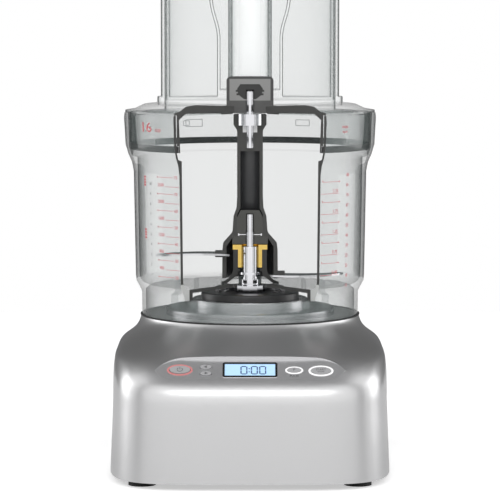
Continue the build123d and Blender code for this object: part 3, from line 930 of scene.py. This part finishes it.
# ---- Sub-assemblies --------------------------------------------------------------------
@dataclass
class Casting:
    """All the CAD nodes, dressed in their finishes, with welded copies where they curve."""

    hidden: Tuple[str, ...] = (
        "motor_stator", "motor_windings", "motor_bottom_bracket", "motor_top_bracket",
        "lower_bearing", "upper_bearing", "motor_mounts", "motor_bolts", "run_capacitor",
        "control_board", "interlock_switch", "motor_rotor", "cooling_fan", "interlock_spring",
    )

    def build(self) -> None:
        """Dress every node."""
        for finish, nodes in DRESS.items():
            for node in nodes:
                if node in self.hidden:
                    self.dress(node, finish)
                else:
                    refined_copy(node, finish)

    def dress(self, node: str, finish: Finish) -> None:
        """Give a node that stays its material.

        Args:
            node: the node's name.
            finish: its finish.
        """
        mesh = frame["nodes"][node].data
        mesh.materials.clear()
        mesh.materials.append(FINISHES.get(finish))
        log.info("%s wears %s", node, finish.name)


@dataclass
class Display:
    """Digits and marks of the display."""

    panel: PanelFrame
    digit: Tuple[float, float] = (0.0046, 0.0084)
    stroke: float = 0.0010
    pitch: float = 0.0066
    start: float = -0.0048
    colon_rise: float = 0.0018

    def segment_bars(self, u: float) -> List[bmesh.types.BMesh]:
        """The six lit strokes of a zero.

        Args:
            u: sideways place of its centre.

        Returns:
            One bar for each stroke.
        """
        half_w, half_h = self.digit[0] / 2, self.digit[1] / 2
        bars = []
        for side in (-1, 1):
            bars.append(((half_w * 2 - self.stroke, self.stroke), (u, side * half_h)))
            for half in (-1, 1):
                size = (self.stroke, half_h - self.stroke * 0.6)
                bars.append((size, (u + side * half_w, half * half_h / 2)))
        return [bar((*size, PRINT_THICK), (*centre, 0.0)) for size, centre in bars]

    def build(self) -> None:
        """Lay the digits and the colon on the pane."""
        shapes: List[bmesh.types.BMesh] = []
        offsets = (0.0, self.pitch * 1.25, self.pitch * 2.25)
        for offset in offsets:
            shapes += self.segment_bars(self.start + offset)
        colon = self.start + self.pitch * 0.63
        for v in (-self.colon_rise, self.colon_rise):
            shapes.append(bar((self.stroke, self.stroke, PRINT_THICK), (colon, v, 0.0)))
        whole = self.panel.lay(merged(shapes), 0.0, 0.0, -0.0001)
        add_piece("display_digits", whole, DIGIT_INK, "base", smooth=False)


@dataclass
class Icons:
    """Generic marks on the buttons and the panel."""

    panel: PanelFrame
    raise_by: float = 0.00315
    line: float = 0.00055
    arrow_reach: float = 0.0017

    def ring_arc(self, radius: float, width: float, sweep: float) -> bmesh.types.BMesh:
        """Flat arc, open at the top, spun from a small upright square.

        Args:
            radius: radius of its middle line.
            width: width of the line.
            sweep: angle that it covers, in radians.

        Returns:
            The arc as a closed mesh.
        """
        shape = bmesh.new()
        bmesh.ops.create_grid(shape, x_segments=1, y_segments=1, size=0.5)
        bmesh.ops.scale(shape, verts=shape.verts, vec=(width, ICON_THICK, 1.0))
        bmesh.ops.rotate(shape, verts=shape.verts, matrix=Matrix.Rotation(math.radians(90), 3, "X"))
        bmesh.ops.translate(shape, verts=shape.verts, vec=(radius, 0.0, 0.0))
        begin = math.radians(90) + (math.tau - sweep) / 2
        bmesh.ops.rotate(shape, verts=shape.verts, matrix=Matrix.Rotation(begin, 3, "Z"))
        near = bmesh.ops.duplicate(shape, geom=shape.faces[:])["geom"]
        bmesh.ops.spin(shape, geom=near, cent=(0, 0, 0), axis=(0, 0, 1), angle=sweep, steps=28)
        bmesh.ops.remove_doubles(shape, verts=shape.verts, dist=0.0000005)
        return shape

    def on_button(self, node: str, shape: bmesh.types.BMesh, name: str,
                  shift: Tuple[float, float] = (0.0, 0.0)) -> None:
        """Lay a mark on a button's face, riding with the button.

        Args:
            node: the button.
            shape: the mark, in the XY plane, centred on the origin.
            name: the mark's name.
            shift: sideways and upward shift from the button's centre.
        """
        u, v, height = self.panel.of_node(node)
        laid = self.panel.lay(shape, u + shift[0], v + shift[1], height + self.raise_by)
        add_piece(name, laid, ICON_INK, node, smooth=False)

    def chevron(self, direction: int) -> bmesh.types.BMesh:
        """Small arrow head.

        Args:
            direction: 1 for up, -1 for down.

        Returns:
            The arrow head.
        """
        shape = bmesh.new()
        reach = self.arrow_reach
        bmesh.ops.create_cone(shape, segments=3, radius1=reach, radius2=reach,
                              depth=LETTER_THICK, cap_ends=True)
        turn = Matrix.Rotation(math.radians(-90 * direction + 180), 3, "Z")
        bmesh.ops.rotate(shape, verts=shape.verts, matrix=turn)
        return shape

    def build(self) -> None:
        """Make every mark."""
        arc = self.ring_arc(0.0021, self.line, math.radians(285))
        stem = bar((self.line, 0.0024, ICON_THICK), (0.0, 0.0016, 0.0))
        self.on_button("power_button", merged([arc, stem]), "power_icon")
        self.on_button("timer_up_button", self.chevron(1), "timer_up_icon")
        self.on_button("timer_down_button", self.chevron(-1), "timer_down_icon")
        letter = text_shape("P", 0.0026, LETTER_THICK)
        self.on_button("pulse_button", letter, "pulse_icon")
        start = text_shape("START", 0.0019, LETTER_THICK)
        self.on_button("start_button", start, "start_icon", (0.0, 0.0009))
        stop = text_shape("STOP", 0.0015, LETTER_THICK)
        self.on_button("start_button", stop, "stop_icon", (0.0, -0.0016))
        u, v, _ = self.panel.of_node("pulse_ring")
        label = self.panel.lay(text_shape("PULSE", 0.0019, LETTER_THICK), u, v - 0.0064, 0.00005)
        add_piece("pulse_label", label, ICON_INK, "base", smooth=False)


@dataclass
class Scales:
    """Printed measuring scales on the bowl; angles are in degrees from the front."""

    wall: RoundWall = field(default_factory=lambda: RoundWall((0.095, 0.158), (0.0965, 0.244)))
    band: RoundWall = field(default_factory=lambda: RoundWall((0.1032, 0.266), (0.1044, 0.288)))
    depth: float = PRINT_THICK

    def line(self, start: float, end: float, z: float, thick: float = 0.0003) -> bmesh.types.BMesh:
        """A level line in short straight steps.

        Args:
            start: angle of one end.
            end: angle of the other end.
            z: its height.
            thick: its width up the wall.

        Returns:
            The line, wrapped on the wall.
        """
        radius = self.wall.radius(z)
        width = math.radians(abs(end - start)) * radius
        shape = bmesh.new()
        bmesh.ops.create_grid(shape, x_segments=10, y_segments=1, size=0.5)
        bmesh.ops.scale(shape, verts=shape.verts, vec=(width, thick, 1.0))
        bmesh.ops.solidify(shape, geom=shape.faces[:], thickness=self.depth)
        return self.wall.wrap(shape, (start + end) / 2, z)

    def dot(self, angle: float, z: float, radius: float = 0.0006) -> bmesh.types.BMesh:
        """A round dot.

        Args:
            angle: its angle.
            z: its height.
            radius: its radius.

        Returns:
            The dot, wrapped on the wall.
        """
        shape = bmesh.new()
        bmesh.ops.create_cone(shape, segments=14, radius1=radius, radius2=radius, depth=self.depth,
                              cap_ends=True)
        return self.wall.wrap(shape, angle, z)

    def word(self, words: str, height: float, angle: float, z: float,
             wall: Optional[RoundWall] = None, widen: float = 1.0) -> bmesh.types.BMesh:
        """Lettering wrapped on the bowl.

        Args:
            words: what it says.
            height: height of a capital.
            angle: angle of its centre.
            z: height of its centre.
            wall: the wall that it is on, if not the bowl's own.
            widen: factor on its width.

        Returns:
            The lettering, wrapped on the wall.
        """
        shape = text_shape(words, height, self.depth)
        bmesh.ops.scale(shape, verts=shape.verts, vec=(widen, 1.0, 1.0))
        return (wall or self.wall).wrap(shape, angle, z)

    def left(self) -> List[bmesh.types.BMesh]:
        """Millilitres and small steps, left of the window.

        Returns:
            Every mark of the scale.
        """
        shapes: List[bmesh.types.BMesh] = []
        top, step = 0.2422, 0.0135
        small = ("75", "70", "60", "50", "40", "30", "20")
        large = ("2500", "2000", "1600", "1200", "800", "400")
        for i, words in enumerate(small):
            z = top - i * step
            shapes += [self.dot(-51.0, z), self.line(-51.0, -40.2, z)]
            shapes.append(self.word(words, 0.0026, -38.4, z))
        for i, words in enumerate(large):
            z = top - 0.0063 - i * step
            shapes += [self.word(words, 0.0027, -48.6, z), self.line(-45.3, -36.3, z - 0.0012)]
        return shapes

    def right(self) -> List[bmesh.types.BMesh]:
        """Litres and ounces, right of the window.

        Returns:
            Every mark of the scale.
        """
        shapes: List[bmesh.types.BMesh] = []
        top, step = 0.2388, 0.0165
        for i, words in enumerate(("2.25", "1.75", "1.25", "0.75", "0.40")):
            z = top - i * step
            shapes += [self.dot(48.6, z), self.line(37.2, 48.6, z)]
            shapes.append(self.dot(37.4, z + 0.0009, 0.0005))
            shapes.append(self.word(words, 0.0027, 46.0, z - 0.0075))
            shapes.append(self.line(36.4, 48.6, z - 0.0096))
        for i in range(12):
            shapes.append(self.word(str(88 - 7 * i), 0.0027, 55.3, 0.2436 - i * 0.0082))
        return shapes

    def add(self, name: str, marks: List[bmesh.types.BMesh], ink: Ink) -> None:
        """Print marks on the bowl as one piece."""
        add_piece(name, merged(marks), ink, "bowl", smooth=False)

    def build(self) -> None:
        """Print every scale."""
        self.add("scale_left", self.left(), RED_INK)
        self.add("scale_right", self.right(), RED_INK)
        digits = [self.word(str(10 - i), 0.0022, -57.2, 0.2360 - i * 0.0082) for i in range(10)]
        self.add("scale_steps", digits, BLACK_INK)
        tiles = []
        pitch = 0.0022
        for z, height in ((0.2415, 0.011), (0.1985, 0.009)):
            for i in range(int(height / pitch)):
                tile = bar((0.0034, 0.0014, self.depth), (0.0, 0.0, 0.0))
                tiles.append(self.wall.wrap(tile, -62.5, z - i * pitch))
        self.add("scale_tabs", tiles, RED_INK)
        rim = [self.word("16", 0.0078, -54.0, 0.2822, self.band, 1.45),
               self.word("cup", 0.0034, -45.6, 0.2808, self.band),
               self.word("max", 0.0030, 47.5, 0.2834, self.band),
               self.word("liquid", 0.0019, 47.5, 0.2793, self.band)]
        self.add("scale_rim", rim, RED_INK)


@dataclass
class Fittings:
    """Small parts that the CAD model leaves out: the deck's gasket and marks on the lid."""

    gasket_radius: float = 0.0906
    gasket_thick: float = 0.0007
    tag_wall: RoundWall = field(
        default_factory=lambda: RoundWall((0.0960, 0.270), (0.0966, 0.289))
    )
    tag_line: float = 0.0005
    tag_thick: float = 0.0003

    def gasket(self) -> bmesh.types.BMesh:
        """Thin soft ring on the deck, round the foot of the bowl.

        Returns:
            The ring as a closed mesh.
        """
        shape = bmesh.new()
        bmesh.ops.create_circle(shape, segments=10, radius=self.gasket_thick, cap_ends=False)
        bmesh.ops.rotate(shape, verts=shape.verts, matrix=Matrix.Rotation(math.radians(90), 3, "X"))
        _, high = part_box("base_housing")
        bmesh.ops.translate(shape, verts=shape.verts, vec=(self.gasket_radius, 0.0, high.z))
        bmesh.ops.spin(shape, geom=shape.edges[:], cent=(0, 0, 0), axis=(0, 0, 1), angle=math.tau,
                       steps=160, use_merge=True)
        bmesh.ops.remove_doubles(shape, verts=shape.verts, dist=0.000001)
        return shape

    def frame_mark(
        self, angle: float, z: float, size: Tuple[float, float]
    ) -> List[bmesh.types.BMesh]:
        """Raised rectangular outline on the lid's skirt.

        Args:
            angle: angle of its centre, in degrees from the front.
            z: height of its centre.
            size: its width and height.

        Returns:
            Its four bars.
        """
        width, height = size
        line, thick = self.tag_line, self.tag_thick
        marks = []
        for side in (-1, 1):
            level = bar((width, line, thick), (0.0, side * height / 2, 0.0))
            upright = bar((line, height, thick), (side * width / 2, 0.0, 0.0))
            marks += [self.tag_wall.wrap(level, angle, z), self.tag_wall.wrap(upright, angle, z)]
        return marks

    def build(self) -> None:
        """Make every fitting."""
        add_piece("deck_gasket", self.gasket(), RUBBER, "base")
        marks = self.frame_mark(-150.0, 0.2800, (0.016, 0.006))
        marks += self.frame_mark(-145.5, 0.2800, (0.006, 0.004))
        marks += self.frame_mark(152.0, 0.2800, (0.013, 0.005))
        add_piece("lid_marks", merged(marks), MOULD_MARK, "lid", smooth=False)


# ---- Stage -----------------------------------------------------------------------------
@dataclass(frozen=True)
class PaleFloor:
    """Plain white floor, lifted to pure white where it is seen directly."""

    name: str
    colour: Colour = (0.86, 0.86, 0.86)
    lift: float = 0.5

    def build(self) -> bpy.types.Material:
        """Make the material.

        Returns:
            The new material.
        """
        board = Board(self.name)
        seen = Reading(board, board.node("ShaderNodeLightPath").outputs["Is Camera Ray"])
        shader = board.principled(
            Base_Color=self.colour, Roughness=0.7, Specular_IOR_Level=0.1,
            Emission_Color=board.mix(seen, (0.0, 0.0, 0.0), (1.0, 1.0, 1.0)),
            Emission_Strength=self.lift,
        )
        return board.finish(shader)


class Softbox(Enum):
    """The studio lamps: place, aim, size, power."""

    LEFT = ((-1.5, 0.55, 0.5), (0.0, 0.0, 0.22), (0.9, 1.3), 5.0)
    RIGHT = ((1.5, 0.55, 0.5), (0.0, 0.0, 0.22), (0.9, 1.3), 4.5)
    FRONT = ((0.0, -2.4, 1.6), (0.0, 0.0, 0.2), (1.8, 0.9), 9.0)


@dataclass
class Stage:
    """Floor, lamps, surroundings and camera."""

    camera_place: Triple = (0.0, -2.4, 0.383)
    camera_aim: Triple = (0.0, 0.0, 0.1776)
    lens: float = 208.2
    floor_radius: float = 1.2
    sky_strength: float = 1.15
    by_height: Tuple[Tuple[float, Colour], ...] = (
        (0.0, (0.5, 0.5, 0.5)), (0.5, (0.9, 0.9, 0.9)), (0.6, (1.0, 1.0, 1.0)),
        (0.935, (1.0, 1.0, 1.0)), (0.972, (0.40, 0.40, 0.405)), (1.0, (0.26, 0.26, 0.265)),
    )
    round_about: Tuple[Tuple[float, Colour], ...] = (
        (0.0, (1.0, 1.0, 1.0)), (0.20, (0.95, 0.95, 0.95)), (0.30, (0.38, 0.38, 0.38)),
        (0.38, (0.45, 0.45, 0.45)), (0.46, (1.0, 1.0, 1.0)),
        (0.76, (1.0, 1.0, 1.0)), (0.83, (0.10, 0.10, 0.10)), (1.0, (0.07, 0.07, 0.07)),
    )

    def aimed(self, place: Sequence[float], aim: Sequence[float]) -> Matrix:
        """Matrix of something that looks at an aim.

        Args:
            place: where it stands.
            aim: what it looks at.

        Returns:
            Its place and turn.
        """
        look = Vector(aim) - Vector(place)
        turn = look.to_track_quat("-Z", "Y").to_matrix().to_4x4()
        return Matrix.Translation(Vector(place)) @ turn

    def add_camera(self) -> None:
        """Set up the camera."""
        data = bpy.data.cameras.new("camera")
        data.lens = self.lens
        data.sensor_width = 36.0
        data.clip_end = 50.0
        camera = bpy.data.objects.new("camera", data)
        camera.matrix_world = self.aimed(self.camera_place, self.camera_aim)
        bpy.context.scene.collection.objects.link(camera)
        bpy.context.scene.camera = camera

    def add_floor(self) -> None:
        """Plain pale floor."""
        shape = bmesh.new()
        bmesh.ops.create_circle(shape, segments=96, radius=self.floor_radius, cap_ends=True)
        mesh = bpy.data.meshes.new("floor")
        shape.to_mesh(mesh)
        shape.free()
        mesh.materials.append(FINISHES.get(PaleFloor("pale_floor")))
        floor = bpy.data.objects.new("floor", mesh)
        bpy.context.scene.collection.objects.link(floor)

    def add_lamps(self) -> None:
        """Soft area lamps."""
        for box in Softbox:
            place, aim, size, power = box.value
            data = bpy.data.lights.new(box.name.lower(), "AREA")
            data.shape = "RECTANGLE"
            data.size, data.size_y = size
            data.energy = power
            lamp = bpy.data.objects.new(data.name, data)
            lamp.matrix_world = self.aimed(place, aim)
            bpy.context.scene.collection.objects.link(lamp)

    def add_surroundings(self) -> None:
        """White studio: pure white behind the object, dark overhead in reflections."""
        world = bpy.data.worlds.new("studio")
        world.use_nodes = True
        board = Board("studio", world.node_tree)
        direction = board.node("ShaderNodeTexCoord").outputs["Generated"]
        split = board.node("ShaderNodeSeparateXYZ", inputs={0: direction})
        x, y, z = (Reading(board, split.outputs[i]) for i in range(3))
        away = y / ((x * x + y * y).root() + 0.001)
        ramps = [
            board.node("ShaderNodeValToRGB", {"stops": stops}, {0: reading * 0.5 + 0.5})
            for stops, reading in ((self.by_height, z), (self.round_about, away))
        ]
        sky = board.node("ShaderNodeMix", {"data_type": "RGBA", "blend_type": "MULTIPLY"},
                         {0: 1.0, 6: ramps[0].outputs[0], 7: ramps[1].outputs[0]})
        path = board.node("ShaderNodeLightPath")
        colour = board.mix(Reading(board, path.outputs["Is Camera Ray"]), sky.outputs[2],
                           (1 / self.sky_strength,) * 3)
        shader = board.node("ShaderNodeBackground", inputs={0: colour, 1: self.sky_strength})
        output = board.node("ShaderNodeOutputWorld")
        board.tree.links.new(shader.outputs[0], output.inputs[0])
        bpy.context.scene.world = world

    def build(self) -> None:
        """Set up the whole stage."""
        self.add_camera()
        self.add_floor()
        self.add_lamps()
        self.add_surroundings()
        scene = bpy.context.scene
        scene.view_settings.view_transform = "Standard"
        scene.cycles.transparent_max_bounces = 32


def main() -> None:
    """Build the stage and every sub-assembly."""
    logging.basicConfig(level=logging.INFO)
    Stage().build()
    Casting().build()
    panel = PanelFrame()
    Display(panel).build()
    Icons(panel).build()
    Scales().build()
    Fittings().build()


if __name__ == "__main__":
    main()
